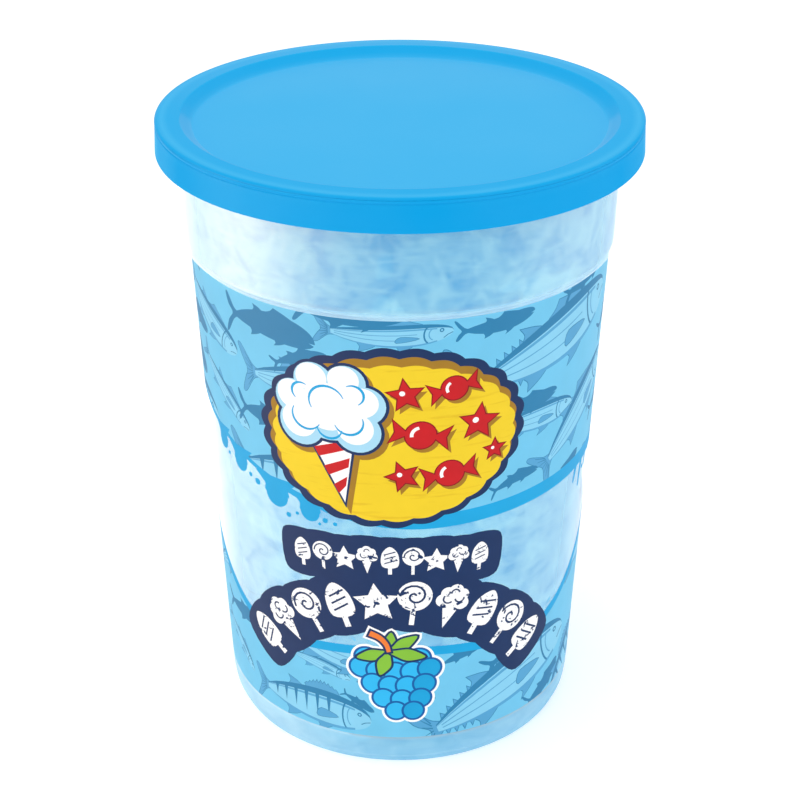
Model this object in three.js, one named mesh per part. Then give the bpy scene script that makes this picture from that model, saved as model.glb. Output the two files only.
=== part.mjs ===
// A shut tub of cotton candy: a frosted tapered tub, its press-on lid, and the spun sugar packed inside.
// Millimetres, +Z up, origin at the centre of the foot ring that the tub stands on.
import * as THREE from "three";

// ---- Driving dimensions of the lid ----
const totalHeight = 158.5;
const lidRadius = 57.9; // at the top edge
const lidSkirtHeight = 8;
const lidSkirtFlare = 0.3; // how far the skirt leans out by its lower edge
const lidWall = 1.1;
const panelRadius = 49.2;
const panelDepth = 2.3; // how far the round panel lies below the lid's raised ring
const panelBevel = 2.8; // plan width of the slope from the ring down to the panel
const undersideBevel = 1; // how much wider that slope is on the lid's underside
const rimFillet = 0.95;
const beadOverlap = 0.45; // how far the bead inside the skirt reaches in under the tub's lip
const beadHeight = 1.8;

// ---- Driving dimensions of the tub ----
const tubWall = 0.9;
const footRadius = 44.2;
const footWidth = 2.4;
const footHeight = 1.5;
const footSlope = 1.3; // plan width of the slope from the foot ring up to the floor
const footStep = 0.15; // how far the body stands out over the foot ring
const floorLift = 2.4; // the floor's underside above the table
const heelHeight = 5;
const heelRadius = 45.5; // body radius at the top of the rounded heel
const heelFillet = 1.2;
const heelDrop = 0.4; // how far in from the heel radius, and up from the foot, the heel's corner lies
const shoulderHeight = 127.3;
const shoulderRadius = 51.05;
const shoulderRise = 1.5;
const shoulderStep = 1.8; // how far the collar stands out past the body
const shoulderFillet = 1;
const collarDraft = 0.8;
const lipHeight = 2.3;
const lipGap = 0.8; // clearance between the lip and the skirt's wall
const floorFillet = 2.6;
const wallLag = 0.3; // the inside of the shoulder lies this much higher than the outside

// ---- Driving dimensions of the cotton candy ----
const lumpDepth = 1.1;
const topLumpDepth = 2.2;
const topFillet = 4;
const bottomFillet = 3;

// ---- Shared by all of them ----
const gap = 0.35; // clearance between neighbouring solids
const softEdge = 0.4; // fillet on thin edges
const panelFillet = 0.6;
const turnSegments = 48;
const candySegments = 40;

// ---- Derived heights and radii ----
const skirtBottom = totalHeight - lidSkirtHeight;
const ringUnderside = totalHeight - lidWall;
const panelTop = totalHeight - panelDepth;
const panelUnderside = panelTop - lidWall;
const skirtFoot = lidRadius + lidSkirtFlare;
const skirtInside = skirtFoot - lidWall;
const lipTop = ringUnderside - gap;
const lipBottom = lipTop - lipHeight;
const lipRadius = skirtInside - lipGap;
const collarBottom = shoulderHeight + shoulderRise;
const collarRadius = shoulderRadius + shoulderStep;
const collarTopRadius = collarRadius + collarDraft;
const floorTop = floorLift + tubWall;

// ---- Profile helpers ----
const lerp = (from, to, share) => from + (to - from) * share;

// Turns corners [radius, height, fillet] into an outline, replacing each filleted corner by an arc.
function outline(corners, arcSteps = 2) {
  const points = [];
  corners.forEach(([r, z, fillet = 0], i) => {
    const corner = new THREE.Vector2(r, z);
    if (!fillet) {
      points.push(corner);
      return;
    }
    const back = new THREE.Vector2(...corners[i - 1].slice(0, 2)).sub(corner).normalize();
    const ahead = new THREE.Vector2(...corners[i + 1].slice(0, 2)).sub(corner).normalize();
    const halfAngle = Math.acos(THREE.MathUtils.clamp(back.dot(ahead), -1, 1)) / 2;
    const reach = fillet / Math.tan(halfAngle);
    const bisector = back.clone().add(ahead).normalize();
    const centre = corner.clone().addScaledVector(bisector, fillet / Math.sin(halfAngle));
    const start = corner.clone().addScaledVector(back, reach).sub(centre);
    const end = corner.clone().addScaledVector(ahead, reach).sub(centre);
    const sweep = Math.atan2(start.cross(end), start.dot(end));
    for (let k = 0; k <= arcSteps; k++) {
      const arm = start.clone().rotateAround(new THREE.Vector2(), (sweep * k) / arcSteps);
      points.push(centre.clone().add(arm));
    }
  });
  return points;
}

// Spins an outline about the vertical axis, and stands the axis along +Z.
function turned(points, segments) {
  const geometry = new THREE.LatheGeometry(points, segments);
  geometry.rotateX(Math.PI / 2);
  return geometry;
}

function named(name, geometry, material) {
  const mesh = new THREE.Mesh(geometry, material);
  mesh.name = name;
  return mesh;
}

// ---- Materials ----
const frostedPlastic = new THREE.MeshStandardMaterial({
  color: 0xe6f2fa,
  roughness: 0.35,
  metalness: 0,
  transparent: true,
  opacity: 0.45,
});
const bluePlastic = new THREE.MeshStandardMaterial({ color: 0x36adee, roughness: 0.42, metalness: 0 });
const spunSugar = new THREE.MeshStandardMaterial({ color: 0xa9d6f2, roughness: 0.95, metalness: 0 });

// ---- The tub: foot ring, rounded heel, tapered body, shoulder, collar and outward lip ----
function makeTub() {
  const underside = [
    [0, floorLift],
    [footRadius - footWidth - footSlope, floorLift, softEdge],
    [footRadius - footWidth, 0, softEdge],
    [footRadius, 0, softEdge],
  ];
  const outside = [
    [footRadius + footStep, footHeight],
    [heelRadius - heelDrop, footHeight + heelDrop, heelFillet],
    [heelRadius, heelHeight],
    [shoulderRadius, shoulderHeight, shoulderFillet],
    [collarRadius, collarBottom, shoulderFillet],
    [collarTopRadius, lipBottom],
    [lipRadius, lipBottom, softEdge],
    [lipRadius, lipTop, softEdge],
  ];
  const inside = [
    [collarTopRadius - tubWall + softEdge, lipTop, softEdge],
    [collarTopRadius - tubWall, lipBottom],
    [collarRadius - tubWall, collarBottom + wallLag, shoulderFillet],
    [shoulderRadius - tubWall, shoulderHeight + wallLag, shoulderFillet],
    [heelRadius - tubWall, floorTop, floorFillet],
    [0, floorTop],
  ];
  return named("tub", turned(outline([...underside, ...outside, ...inside]), turnSegments), frostedPlastic);
}

// ---- The lid: sunken panel, raised ring, skirt, and the bead inside it that grips under the tub's lip ----
function makeLid() {
  const beadTop = lipBottom - gap;
  const beadRadius = lipRadius - beadOverlap;
  const undersideSlope = panelRadius + panelBevel + undersideBevel;
  const underside = [
    [0, panelUnderside],
    [panelRadius, panelUnderside, softEdge],
    [undersideSlope, ringUnderside, softEdge],
    [lidRadius - lidWall, ringUnderside, softEdge],
    [skirtInside, beadTop + softEdge],
    [beadRadius, beadTop - softEdge, softEdge / 2],
    [skirtInside, beadTop - beadHeight],
    [skirtInside, skirtBottom, softEdge / 2],
  ];
  const outside = [
    [skirtFoot, skirtBottom, softEdge],
    [lidRadius, totalHeight, rimFillet],
    [panelRadius + panelBevel, totalHeight, panelFillet],
    [panelRadius, panelTop, panelFillet],
    [0, panelTop],
  ];
  return named("lid", turned(outline([...underside, ...outside]), turnSegments), bluePlastic);
}

// ---- The cotton candy: fills the tub, soft at its top edge, with lumps that fall short of the wall ----
// A smooth unevenness from 0 to 1 over direction and height, the same wherever the angle wraps round.
function unevenness(angle, height) {
  const broad = Math.sin(3 * angle + height / 19) * Math.cos(height / 13 + 0.8);
  const fine = Math.sin(7 * angle - height / 9 + 1.7) * Math.cos(height / 7 - 0.4);
  return 0.5 + 0.3 * broad + 0.2 * fine;
}

// The candy's largest radius at a height on the tapered body.
function bodyInside(height) {
  const share = (height - heelHeight) / (shoulderHeight - heelHeight);
  return lerp(heelRadius, shoulderRadius, share) - tubWall - gap;
}

// The candy's profile before its lumps: straight up the body, out at the shoulder, and over the soft top.
function candyProfile(bottom, top) {
  const sideSteps = 9;
  const side = [];
  for (let k = 1; k < sideSteps; k++) {
    const height = lerp(heelHeight, shoulderHeight, k / sideSteps);
    side.push([bodyInside(height), height]);
  }
  const collarInside = collarRadius - tubWall - gap;
  return outline([
    [0, bottom],
    [bodyInside(bottom), bottom, bottomFillet],
    ...side,
    [bodyInside(shoulderHeight), shoulderHeight + wallLag],
    [collarInside, collarBottom + 2 * wallLag],
    [collarInside, lerp(collarBottom, top, 0.5)],
    [collarInside, top, topFillet],
    [collarInside / 2, top],
    [0, top],
  ]);
}

function makeCandy() {
  const top = panelUnderside - gap;
  const geometry = turned(candyProfile(floorTop + gap, top), candySegments);
  const position = geometry.getAttribute("position");
  for (let i = 0; i < position.count; i++) {
    const [x, y, z] = [position.getX(i), position.getY(i), position.getZ(i)];
    const radius = Math.hypot(x, y);
    const lump = unevenness(Math.atan2(y, x), z);
    const onSide = THREE.MathUtils.smoothstep(radius / bodyInside(z), 0.8, 0.98);
    const pulledIn = 1 - (onSide * lumpDepth * lump) / Math.max(radius, 1);
    const onTop = THREE.MathUtils.smoothstep(z, top - 2 * topFillet, top);
    const offAxis = Math.min(radius / (panelRadius / 2), 1);
    position.setXYZ(i, x * pulledIn, y * pulledIn, z - onTop * topLumpDepth * lump * offAxis);
  }
  return named("cotton_candy", geometry, spunSugar);
}

const pack = new THREE.Group();
pack.add(makeTub(), makeLid(), makeCandy());

export default pack;
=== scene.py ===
"""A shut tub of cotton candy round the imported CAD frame: frosted tub, print, spun sugar and blue lid."""

import math
import random

import bpy
import numpy as np
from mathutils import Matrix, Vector, noise
from mathutils.geometry import delaunay_2d_cdt


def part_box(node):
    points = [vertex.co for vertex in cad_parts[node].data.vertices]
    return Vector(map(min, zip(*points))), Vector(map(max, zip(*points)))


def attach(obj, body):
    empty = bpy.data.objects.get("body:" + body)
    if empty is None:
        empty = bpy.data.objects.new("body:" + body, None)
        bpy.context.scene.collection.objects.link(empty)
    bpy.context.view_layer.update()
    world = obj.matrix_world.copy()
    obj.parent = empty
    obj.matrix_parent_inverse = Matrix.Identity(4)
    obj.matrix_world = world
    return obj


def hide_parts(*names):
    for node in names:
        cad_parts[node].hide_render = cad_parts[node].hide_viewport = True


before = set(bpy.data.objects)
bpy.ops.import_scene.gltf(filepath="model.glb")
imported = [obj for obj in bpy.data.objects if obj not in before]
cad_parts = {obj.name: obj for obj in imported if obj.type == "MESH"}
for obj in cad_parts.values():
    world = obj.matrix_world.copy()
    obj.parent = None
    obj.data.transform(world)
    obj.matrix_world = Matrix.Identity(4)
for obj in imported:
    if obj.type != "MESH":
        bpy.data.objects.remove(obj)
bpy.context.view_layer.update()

# ---- Sizes: the outside comes from the frame, and the rest are the tub's own dimensions in metres ----
MM = 0.001
lid_low, lid_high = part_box("lid")
tub_low, tub_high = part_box("tub")

TOP = lid_high.z
SKIRT_BOTTOM = lid_low.z
SKIRT_FOOT_RADIUS = lid_high.x
LIP_RADIUS = tub_high.x
LIP_TOP = tub_high.z

LID_WALL = 1.1 * MM
SKIRT_FLARE = 0.3 * MM  # how far the skirt leans out by its lower edge
PANEL_RADIUS = 49.2 * MM
PANEL_DEPTH = 2.3 * MM
PANEL_BEVEL = 2.8 * MM
BEAD_HEIGHT = 1.3 * MM  # the rounded edge round the top of the skirt, above its fine groove
GROOVE_DEPTH = 0.22 * MM
LID_EDGE = 0.35 * MM
RIM_RADIUS = SKIRT_FOOT_RADIUS - SKIRT_FLARE

TUB_WALL = 0.9 * MM
FOOT_RADIUS = 44.2 * MM
FOOT_WIDTH = 2.4 * MM
FOOT_HEIGHT = 1.5 * MM
FLOOR_LIFT = 2.4 * MM
HEEL_HEIGHT = 5.0 * MM
HEEL_RADIUS = 45.5 * MM
SHOULDER_HEIGHT = 127.3 * MM
SHOULDER_RADIUS = 51.05 * MM
COLLAR_BOTTOM = 128.8 * MM
COLLAR_RADIUS = 52.85 * MM
COLLAR_TOP_RADIUS = 53.65 * MM
LIP_BOTTOM = LIP_TOP - 2.3 * MM
FLOOR_TOP = FLOOR_LIFT + TUB_WALL

PRINT_TOP = SHOULDER_HEIGHT / MM - 0.3  # the print's edges, in millimetres like all of its shapes
PRINT_BOTTOM = 8.6

WALL_TURNS = 240  # facets round the tub and lid


def lerp(start, end, share):
    return start + (end - start) * share


def smoothstep(low, high, value):
    share = min(max((value - low) / (high - low), 0.0), 1.0)
    return share * share * (3 - 2 * share)


def wall_radius(height):
    """Outer radius of the straight tapered body at a height."""
    share = (height - HEEL_HEIGHT) / (SHOULDER_HEIGHT - HEEL_HEIGHT)
    return lerp(HEEL_RADIUS, SHOULDER_RADIUS, share)


# ---- Mesh helpers ----
def add_piece(name, points, faces, material, sharp_degrees=38):
    """A smooth-shaded mesh that rides on the tub's one body."""
    mesh = bpy.data.meshes.new(name)
    mesh.from_pydata([tuple(p) for p in points], [], faces)
    mesh.validate()
    mesh.shade_smooth()
    mesh.set_sharp_from_angle(angle=math.radians(sharp_degrees))
    mesh.materials.append(material)
    piece = bpy.data.objects.new(name, mesh)
    bpy.context.scene.collection.objects.link(piece)
    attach(piece, "root")
    return piece


ARC_STEPS = 7
SUPPORT = 0.35 * MM  # how far past an arc's end lies the point that holds the flat beside it


def outline(corners):
    """A profile through corners (radius, height, fillet), with points that hold the flats beside each arc."""
    profile = []
    for i, corner in enumerate(corners):
        here = np.array(corner[:2])
        fillet = corner[2] if len(corner) > 2 else 0
        if not fillet:
            profile.append(here)
            continue
        back = np.array(corners[i - 1][:2]) - here
        ahead = np.array(corners[i + 1][:2]) - here
        back_length, ahead_length = np.linalg.norm(back), np.linalg.norm(ahead)
        back, ahead = back / back_length, ahead / ahead_length
        half_angle = math.acos(float(np.clip(back @ ahead, -1, 1))) / 2
        reach = fillet / math.tan(half_angle)
        bisector = (back + ahead) / np.linalg.norm(back + ahead)
        centre = here + bisector * fillet / math.sin(half_angle)
        start, end = here + back * reach - centre, here + ahead * reach - centre
        sweep = math.atan2(start[0] * end[1] - start[1] * end[0], start @ end)
        if reach + SUPPORT < back_length * 0.5:
            profile.append(here + back * (reach + SUPPORT))
        for k in range(ARC_STEPS + 1):
            turn = sweep * k / ARC_STEPS
            cos, sin = math.cos(turn), math.sin(turn)
            arm = np.array([start[0] * cos - start[1] * sin, start[0] * sin + start[1] * cos])
            profile.append(centre + arm)
        if reach + SUPPORT < ahead_length * 0.5:
            profile.append(here + ahead * (reach + SUPPORT))
    return profile


def turned(profile, turns=WALL_TURNS):
    """Points and faces of a closed solid, spun from a profile that starts and ends on the axis."""
    points, rings, faces = [], [], []
    for radius, height in profile:
        first = len(points)
        if radius < 1e-7:
            points.append((0, 0, height))
            rings.append([first] * turns)
            continue
        for k in range(turns):
            angle = 2 * math.pi * k / turns
            points.append((radius * math.cos(angle), radius * math.sin(angle), height))
        rings.append(list(range(first, first + turns)))
    for lower, upper in zip(rings, rings[1:]):
        for k in range(turns):
            following = (k + 1) % turns
            face = [lower[k], lower[following], upper[following], upper[k]]
            faces.append(list(dict.fromkeys(face)))
    return points, faces


# ---- Material helpers ----
class Nodes:
    """A material's node tree, with one short call for each kind of node used here."""

    def __init__(self, name):
        self.material = bpy.data.materials.new(name)
        self.material.use_nodes = True
        self.tree = self.material.node_tree
        self.tree.nodes.clear()
        self.place = self.add("ShaderNodeTexCoord").outputs["Object"]

    def add(self, kind, **inputs):
        """Adds a node. An input is a number or colour, or the output that is linked to it."""
        node = self.tree.nodes.new(kind)
        for key, value in inputs.items():
            socket = node.inputs[key.replace("_", " ")]
            self.set(socket, value)
        return node

    def set(self, socket, value):
        if isinstance(value, bpy.types.NodeSocket):
            self.tree.links.new(value, socket)
        else:
            socket.default_value = value

    def stretched(self, x=1.0, y=1.0, z=1.0):
        """The object's own coordinates, scaled along each axis."""
        return self.add("ShaderNodeMapping", Vector=self.place, Scale=(x, y, z)).outputs["Vector"]

    def noise(self, scale, detail=3.0, place=None, distortion=0.0):
        settings = {"Scale": scale, "Detail": detail, "Distortion": distortion}
        return self.add("ShaderNodeTexNoise", Vector=place or self.place, **settings).outputs["Fac"]

    def ramp(self, value, *stops):
        """Maps a value through stops of (position, colour or grey)."""
        node = self.add("ShaderNodeValToRGB", Fac=value)
        elements = node.color_ramp.elements
        while len(elements) < len(stops):
            elements.new(0.5)
        for element, (position, tone) in zip(elements, stops):
            element.position = position
            element.color = tone if isinstance(tone, tuple) else (tone, tone, tone, 1)
        return node.outputs["Color"]

    def mix(self, factor, first, second):
        node = self.tree.nodes.new("ShaderNodeMix")
        node.data_type = "RGBA"
        self.set(node.inputs[0], factor)
        self.set(node.inputs[6], first)
        self.set(node.inputs[7], second)
        return node.outputs[2]

    def mix_shaders(self, factor, first, second):
        node = self.tree.nodes.new("ShaderNodeMixShader")
        self.set(node.inputs[0], factor)
        self.tree.links.new(first.outputs[0], node.inputs[1])
        self.tree.links.new(second.outputs[0], node.inputs[2])
        return node

    def bump(self, height, strength, distance, over=None):
        """The surface's normal, roughened by a height, on top of an earlier bump where one is given."""
        node = self.add("ShaderNodeBump", Height=height, Strength=strength, Distance=distance)
        if over:
            self.set(node.inputs["Normal"], over)
        return node.outputs["Normal"]

    def principled(self, **inputs):
        return self.add("ShaderNodeBsdfPrincipled", **inputs)

    def finish(self, shader):
        output = self.add("ShaderNodeOutputMaterial")
        self.tree.links.new(shader, output.inputs["Surface"])
        return self.material


def colour(hex_code, share=1.0):
    """The linear colour of an sRGB hex code, made lighter or darker by share."""
    channels = []
    for k in (0, 2, 4):
        value = int(hex_code[k : k + 2], 16) / 255
        value = value / 12.92 if value <= 0.04045 else ((value + 0.055) / 1.055) ** 2.4
        channels.append(min(value * share, 1.0))
    return (*channels, 1.0)


# ---- Camera, lights and floor ----
CAMERA_DISTANCE = 414.2 * MM  # in front of the tub's axis
CAMERA_HEIGHT = 297.4 * MM
CAMERA_TILT = 27.6  # degrees below the horizon
CAMERA_LENS = 82  # millimetres, for a 36 mm sensor


def make_camera():
    data = bpy.data.cameras.new("camera")
    data.lens = CAMERA_LENS
    data.sensor_width = 36
    data.clip_start = 0.01
    camera = bpy.data.objects.new("camera", data)
    camera.location = (0, -CAMERA_DISTANCE, CAMERA_HEIGHT)
    camera.rotation_euler = (math.radians(90 - CAMERA_TILT), 0, 0)
    bpy.context.scene.collection.objects.link(camera)
    bpy.context.scene.camera = camera


def add_panel_light(name, place, aim, size, power, tint=(1, 1, 1), gloss_only=False):
    data = bpy.data.lights.new(name, "AREA")
    data.shape = "RECTANGLE"
    data.size, data.size_y = size
    data.energy = power
    data.color = tint
    light = bpy.data.objects.new(name, data)
    light.location = place
    light.rotation_euler = (Vector(aim) - Vector(place)).to_track_quat("-Z", "Y").to_euler()
    light.visible_diffuse = not gloss_only
    light.visible_camera = False
    bpy.context.scene.collection.objects.link(light)


def make_lights():
    world = bpy.data.worlds.new("studio")
    world.use_nodes = True
    background = world.node_tree.nodes["Background"]
    background.inputs["Color"].default_value = (1, 1, 1, 1)
    background.inputs["Strength"].default_value = 0.83
    bpy.context.scene.world = world
    middle = (0, 0, TOP / 2)
    add_panel_light("overhead", (-0.1, -0.1, 0.9), middle, (0.9, 0.9), 2.0)
    add_panel_light("right_fill", (0.6, -0.1, 0.3), middle, (0.6, 0.6), 0.25)
    warm = (1.0, 0.62, 0.33)  # turns the blue sugar white where it shines on the tub's left
    add_panel_light("left_gloss", (-0.51, -0.26, 0.11), middle, (0.6, 0.28), 15.5, warm, gloss_only=True)
    add_panel_light("right_gloss", (0.53, -0.2, 0.18), middle, (0.6, 0.28), 3.4, warm, gloss_only=True)
    bpy.context.scene.view_settings.view_transform = "Standard"


def make_floor():
    nodes = Nodes("studio_floor")
    grain = nodes.ramp(nodes.noise(40, 4), (0.3, 0.92), (0.7, 0.94))
    glow = {"Emission_Color": (1, 1, 1, 1), "Emission_Strength": 0.25}
    shader = nodes.principled(Base_Color=grain, Roughness=0.8, **glow)
    half = 12.0  # metres
    corners = [(-half, -half, 0), (half, -half, 0), (half, half, 0), (-half, half, 0)]
    mesh = bpy.data.meshes.new("floor")
    mesh.from_pydata(corners, [], [(0, 1, 2, 3)])
    mesh.materials.append(nodes.finish(shader.outputs["BSDF"]))
    floor = bpy.data.objects.new("floor", mesh)
    bpy.context.scene.collection.objects.link(floor)


# ---- The tub ----
def frosted_plastic():
    """Thin satin film that shows the sugar behind it, with painted light in a pale blue, more opaque band at
    the foot and at the shoulder, over the shade there.
    """
    nodes = Nodes("frosted_plastic")
    height = nodes.add("ShaderNodeSeparateXYZ", Vector=nodes.place).outputs["Z"]
    height_share = nodes.add("ShaderNodeMapRange", Value=height, From_Max=TOP).outputs["Result"]
    foot, shoulder, collar = PRINT_BOTTOM * MM / TOP, SHOULDER_HEIGHT / TOP, COLLAR_BOTTOM / TOP
    fade = 0.005
    # Painted light: a pale blue, more opaque band at the foot and at the shoulder gives a lit look to the
    # shade in the hollow under the floor and in the nook under the collar
    painted_light_band = nodes.ramp(
        height_share,
        (foot - fade, 1.0), (foot + fade, 0.0), (shoulder - fade, 0.0),
        (shoulder, 0.65), (collar, 0.3), (collar + 2 * fade, 0.0),
    )
    haze = nodes.noise(110, 5, nodes.stretched(1, 1, 1.6), distortion=0.6)
    cloudy = nodes.ramp(haze, (0.35, colour("62B6E0")), (0.65, colour("7EC6E8")))
    tint = nodes.mix(painted_light_band, colour("E4F4FD"), cloudy)
    texture = nodes.bump(nodes.noise(2600, 2), 0.12, 0.05 * MM)
    film = nodes.principled(Base_Color=tint, Roughness=0.45, Normal=texture, Specular_IOR_Level=0.0)
    clear = nodes.add("ShaderNodeBsdfTransparent")
    thin_milk, band_milk = 0.05, 0.92
    milkiness = nodes.ramp(painted_light_band, (0.0, thin_milk), (1.0, band_milk))
    body = nodes.mix_shaders(milkiness, clear, film)
    gloss = nodes.add("ShaderNodeBsdfGlossy", Color=colour("E2F4FF"), Roughness=0.5, Normal=texture)
    facing = nodes.add("ShaderNodeLayerWeight", Blend=0.5, Normal=texture).outputs["Facing"]
    thin_shine = nodes.ramp(
        facing,
        (0.0, 0.04), (0.2, 0.06), (0.36, 0.125), (0.5, 0.18),
        (0.66, 0.24), (0.8, 0.45), (1.0, 0.9),
    )
    band_shine = nodes.ramp(facing, (0.0, 0.05), (0.3, 0.12), (0.5, 0.20), (1.0, 0.25))
    shine = nodes.mix(painted_light_band, thin_shine, band_shine)
    outside = nodes.mix_shaders(shine, body, gloss)
    inner_face = nodes.add("ShaderNodeNewGeometry").outputs["Backfacing"]
    return nodes.finish(nodes.mix_shaders(inner_face, outside, clear).outputs[0])


def make_tub():
    edge = 0.35 * MM
    floor_fillet, inside_fillet = 0.7 * MM, 2.6 * MM
    foot_slope, foot_step = 1.3 * MM, 0.15 * MM
    heel_drop, wall_lag = 0.4 * MM, 0.3 * MM
    bend, sharper_bend = 1.2 * MM, 1.0 * MM
    underside = [
        (0, FLOOR_LIFT),
        (FOOT_RADIUS - FOOT_WIDTH - foot_slope, FLOOR_LIFT, floor_fillet),
        (FOOT_RADIUS - FOOT_WIDTH, 0, edge),
        (FOOT_RADIUS, 0, edge),
    ]
    outside = [
        (FOOT_RADIUS + foot_step, FOOT_HEIGHT),
        (HEEL_RADIUS - heel_drop, FOOT_HEIGHT + heel_drop, bend),
        (HEEL_RADIUS, HEEL_HEIGHT),
        (SHOULDER_RADIUS, SHOULDER_HEIGHT, sharper_bend),
        (COLLAR_RADIUS, COLLAR_BOTTOM, bend),
        (COLLAR_TOP_RADIUS, LIP_BOTTOM),
        (LIP_RADIUS, LIP_BOTTOM, edge),
        (LIP_RADIUS, LIP_TOP, edge),
    ]
    inside = [
        (COLLAR_TOP_RADIUS - TUB_WALL + edge, LIP_TOP, edge),
        (COLLAR_TOP_RADIUS - TUB_WALL, LIP_BOTTOM),
        (COLLAR_RADIUS - TUB_WALL, COLLAR_BOTTOM + wall_lag, bend),
        (SHOULDER_RADIUS - TUB_WALL, SHOULDER_HEIGHT + wall_lag, bend),
        (HEEL_RADIUS - TUB_WALL, FLOOR_TOP, inside_fillet),
        (0, FLOOR_TOP),
    ]
    points, faces = turned(outline(underside + outside + inside))
    tub = add_piece("tub_shell", points, faces, frosted_plastic())
    tub.visible_shadow = False  # the thin film lets light straight through to the sugar
    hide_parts("tub")


# ---- The lid ----
def blue_plastic():
    """Blue plastic, deepest on the skirt, with painted light: the top painted lighter as if lit from above,
    the panel lightest, and a painted highlight along the rounded crest of the rim.
    """
    nodes = Nodes("blue_plastic")
    level = nodes.add("ShaderNodeVectorMath", Vector=nodes.stretched(z=0))
    level.operation = "LENGTH"
    out = nodes.add("ShaderNodeMapRange", Value=level.outputs["Value"], From_Max=SKIRT_FOOT_RADIUS)
    radius_share = out.outputs["Result"]
    panel = PANEL_RADIUS / SKIRT_FOOT_RADIUS
    slope = (PANEL_RADIUS + PANEL_BEVEL) / SKIRT_FOOT_RADIUS
    rim = RIM_RADIUS / SKIRT_FOOT_RADIUS
    crest = 1.6 * MM / SKIRT_FOOT_RADIUS
    ring, skirt = colour("1AAAE6"), colour("0FA1E4")
    # Painted light: the panel and ring are painted lighter than the skirt as if lit from above, and the stop
    # at the crest is a painted highlight along the rounded rim
    lid_tone_with_painted_light = nodes.ramp(
        radius_share,
        (panel - 0.005, colour("3AB2E9")), (panel + 0.02, colour("1FABE6")), (slope + 0.01, ring),
        (rim - 2 * crest, ring), (rim - crest, colour("34B3EA")), (rim - 0.3 * crest, ring), (rim, skirt),
    )
    on_skirt = nodes.ramp(radius_share, (rim - 0.3 * crest, 0.0), (rim, 1.0))
    facing = nodes.add("ShaderNodeLayerWeight", Blend=0.5).outputs["Facing"]
    clouds = nodes.ramp(nodes.noise(38, 3), (0.3, 0.0), (0.7, 0.03))
    clouded = nodes.mix(clouds, lid_tone_with_painted_light, colour("8FD3F5"))
    streaks = nodes.bump(nodes.noise(260, 2, nodes.stretched(1, 0.12, 1)), 0.10, 0.08 * MM)
    texture = nodes.bump(nodes.noise(3000, 2), 0.10, 0.04 * MM, over=streaks)
    rough = nodes.ramp(nodes.noise(120, 3), (0.3, 0.36), (0.7, 0.44))
    body = nodes.principled(Base_Color=clouded, Roughness=rough, Normal=texture, Specular_IOR_Level=0.0)
    gloss_tint = nodes.mix(on_skirt, colour("FFFFFF"), colour("9CE6FF"))
    gloss = nodes.add("ShaderNodeBsdfGlossy", Color=gloss_tint, Roughness=rough, Normal=texture)
    top_shine = nodes.ramp(
        facing,
        (0.0, 0.0), (0.3, 0.003), (0.6, 0.018),
        (0.685, 0.037), (0.72, 0.085), (1.0, 0.18),
    )
    skirt_shine = nodes.ramp(facing, (0.0, 0.0), (0.6, 0.012), (0.85, 0.09), (1.0, 0.26))
    shine = nodes.mix(on_skirt, top_shine, skirt_shine)
    return nodes.finish(nodes.mix_shaders(shine, body, gloss).outputs[0])


def make_lid():
    panel_top = TOP - PANEL_DEPTH
    ring_underside = TOP - LID_WALL
    groove = TOP - BEAD_HEIGHT
    groove_half, groove_fillet = 0.35 * MM, 0.2 * MM
    bead_foot_fillet, rim_fillet, panel_fillet = 0.25 * MM, 0.6 * MM, 0.9 * MM
    underside_bevel = 1 * MM
    underside = [
        (0, panel_top - LID_WALL),
        (PANEL_RADIUS, panel_top - LID_WALL, LID_EDGE),
        (PANEL_RADIUS + PANEL_BEVEL + underside_bevel, ring_underside, LID_EDGE),
        (RIM_RADIUS - LID_WALL, ring_underside, LID_EDGE),
        (SKIRT_FOOT_RADIUS - LID_WALL, SKIRT_BOTTOM, LID_EDGE / 2),
    ]
    outside = [
        (SKIRT_FOOT_RADIUS, SKIRT_BOTTOM, LID_EDGE),
        (RIM_RADIUS, groove - groove_half, groove_fillet),
        (RIM_RADIUS - GROOVE_DEPTH, groove, groove_fillet),
        (RIM_RADIUS, groove + groove_half, bead_foot_fillet),
        (RIM_RADIUS, TOP, rim_fillet),
        (PANEL_RADIUS + PANEL_BEVEL, TOP, panel_fillet),
        (PANEL_RADIUS, panel_top, panel_fillet),
        (0, panel_top),
    ]
    points, faces = turned(outline(underside + outside))
    lid = add_piece("lid_shell", points, faces, blue_plastic())
    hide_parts("lid")


# ---- The candy: a lumpy core whose ridges touch the wall, with loose threads pressed between them ----
CANDY_RINGS = 250
CANDY_TURNS = 360
CANDY_IN_WALL = 0.2 * MM  # how far the core's ridges reach into the wall, so that no gap shows
CANDY_RELIEF = 0.55 * MM
CANDY_SEED = 3  # makes the swirls of the ridges the same on every run
THREAD_COUNT = 700
THREAD_STEPS = 9


def inner_radius(height):
    """Inner radius of the tub at a height, from the floor's corner up to the lip."""
    corners = [
        (FLOOR_TOP, wall_radius(FLOOR_TOP)),
        (SHOULDER_HEIGHT, SHOULDER_RADIUS),
        (COLLAR_BOTTOM, COLLAR_RADIUS),
        (TOP, COLLAR_TOP_RADIUS),
    ]
    return float(np.interp(height, *zip(*corners))) - TUB_WALL


def wisps(x, y, z):
    """Uneven ridges from 0 to 1, drawn out along the wall and folded by a slower swirl."""
    place = Vector((x, y, z))
    swirl = noise.noise_vector(place * 22) * 0.016
    folded = place + swirl
    drawn = Vector((folded.x * 55, folded.y * 55, folded.z * 120))
    broad = noise.noise(folded * 34)
    ridges = 1 - abs(noise.noise(drawn))
    fine = noise.noise(drawn * 3.1)
    return min(max(0.30 + 0.55 * broad + 0.35 * ridges + 0.16 * fine, 0.0), 1.0)


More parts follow.
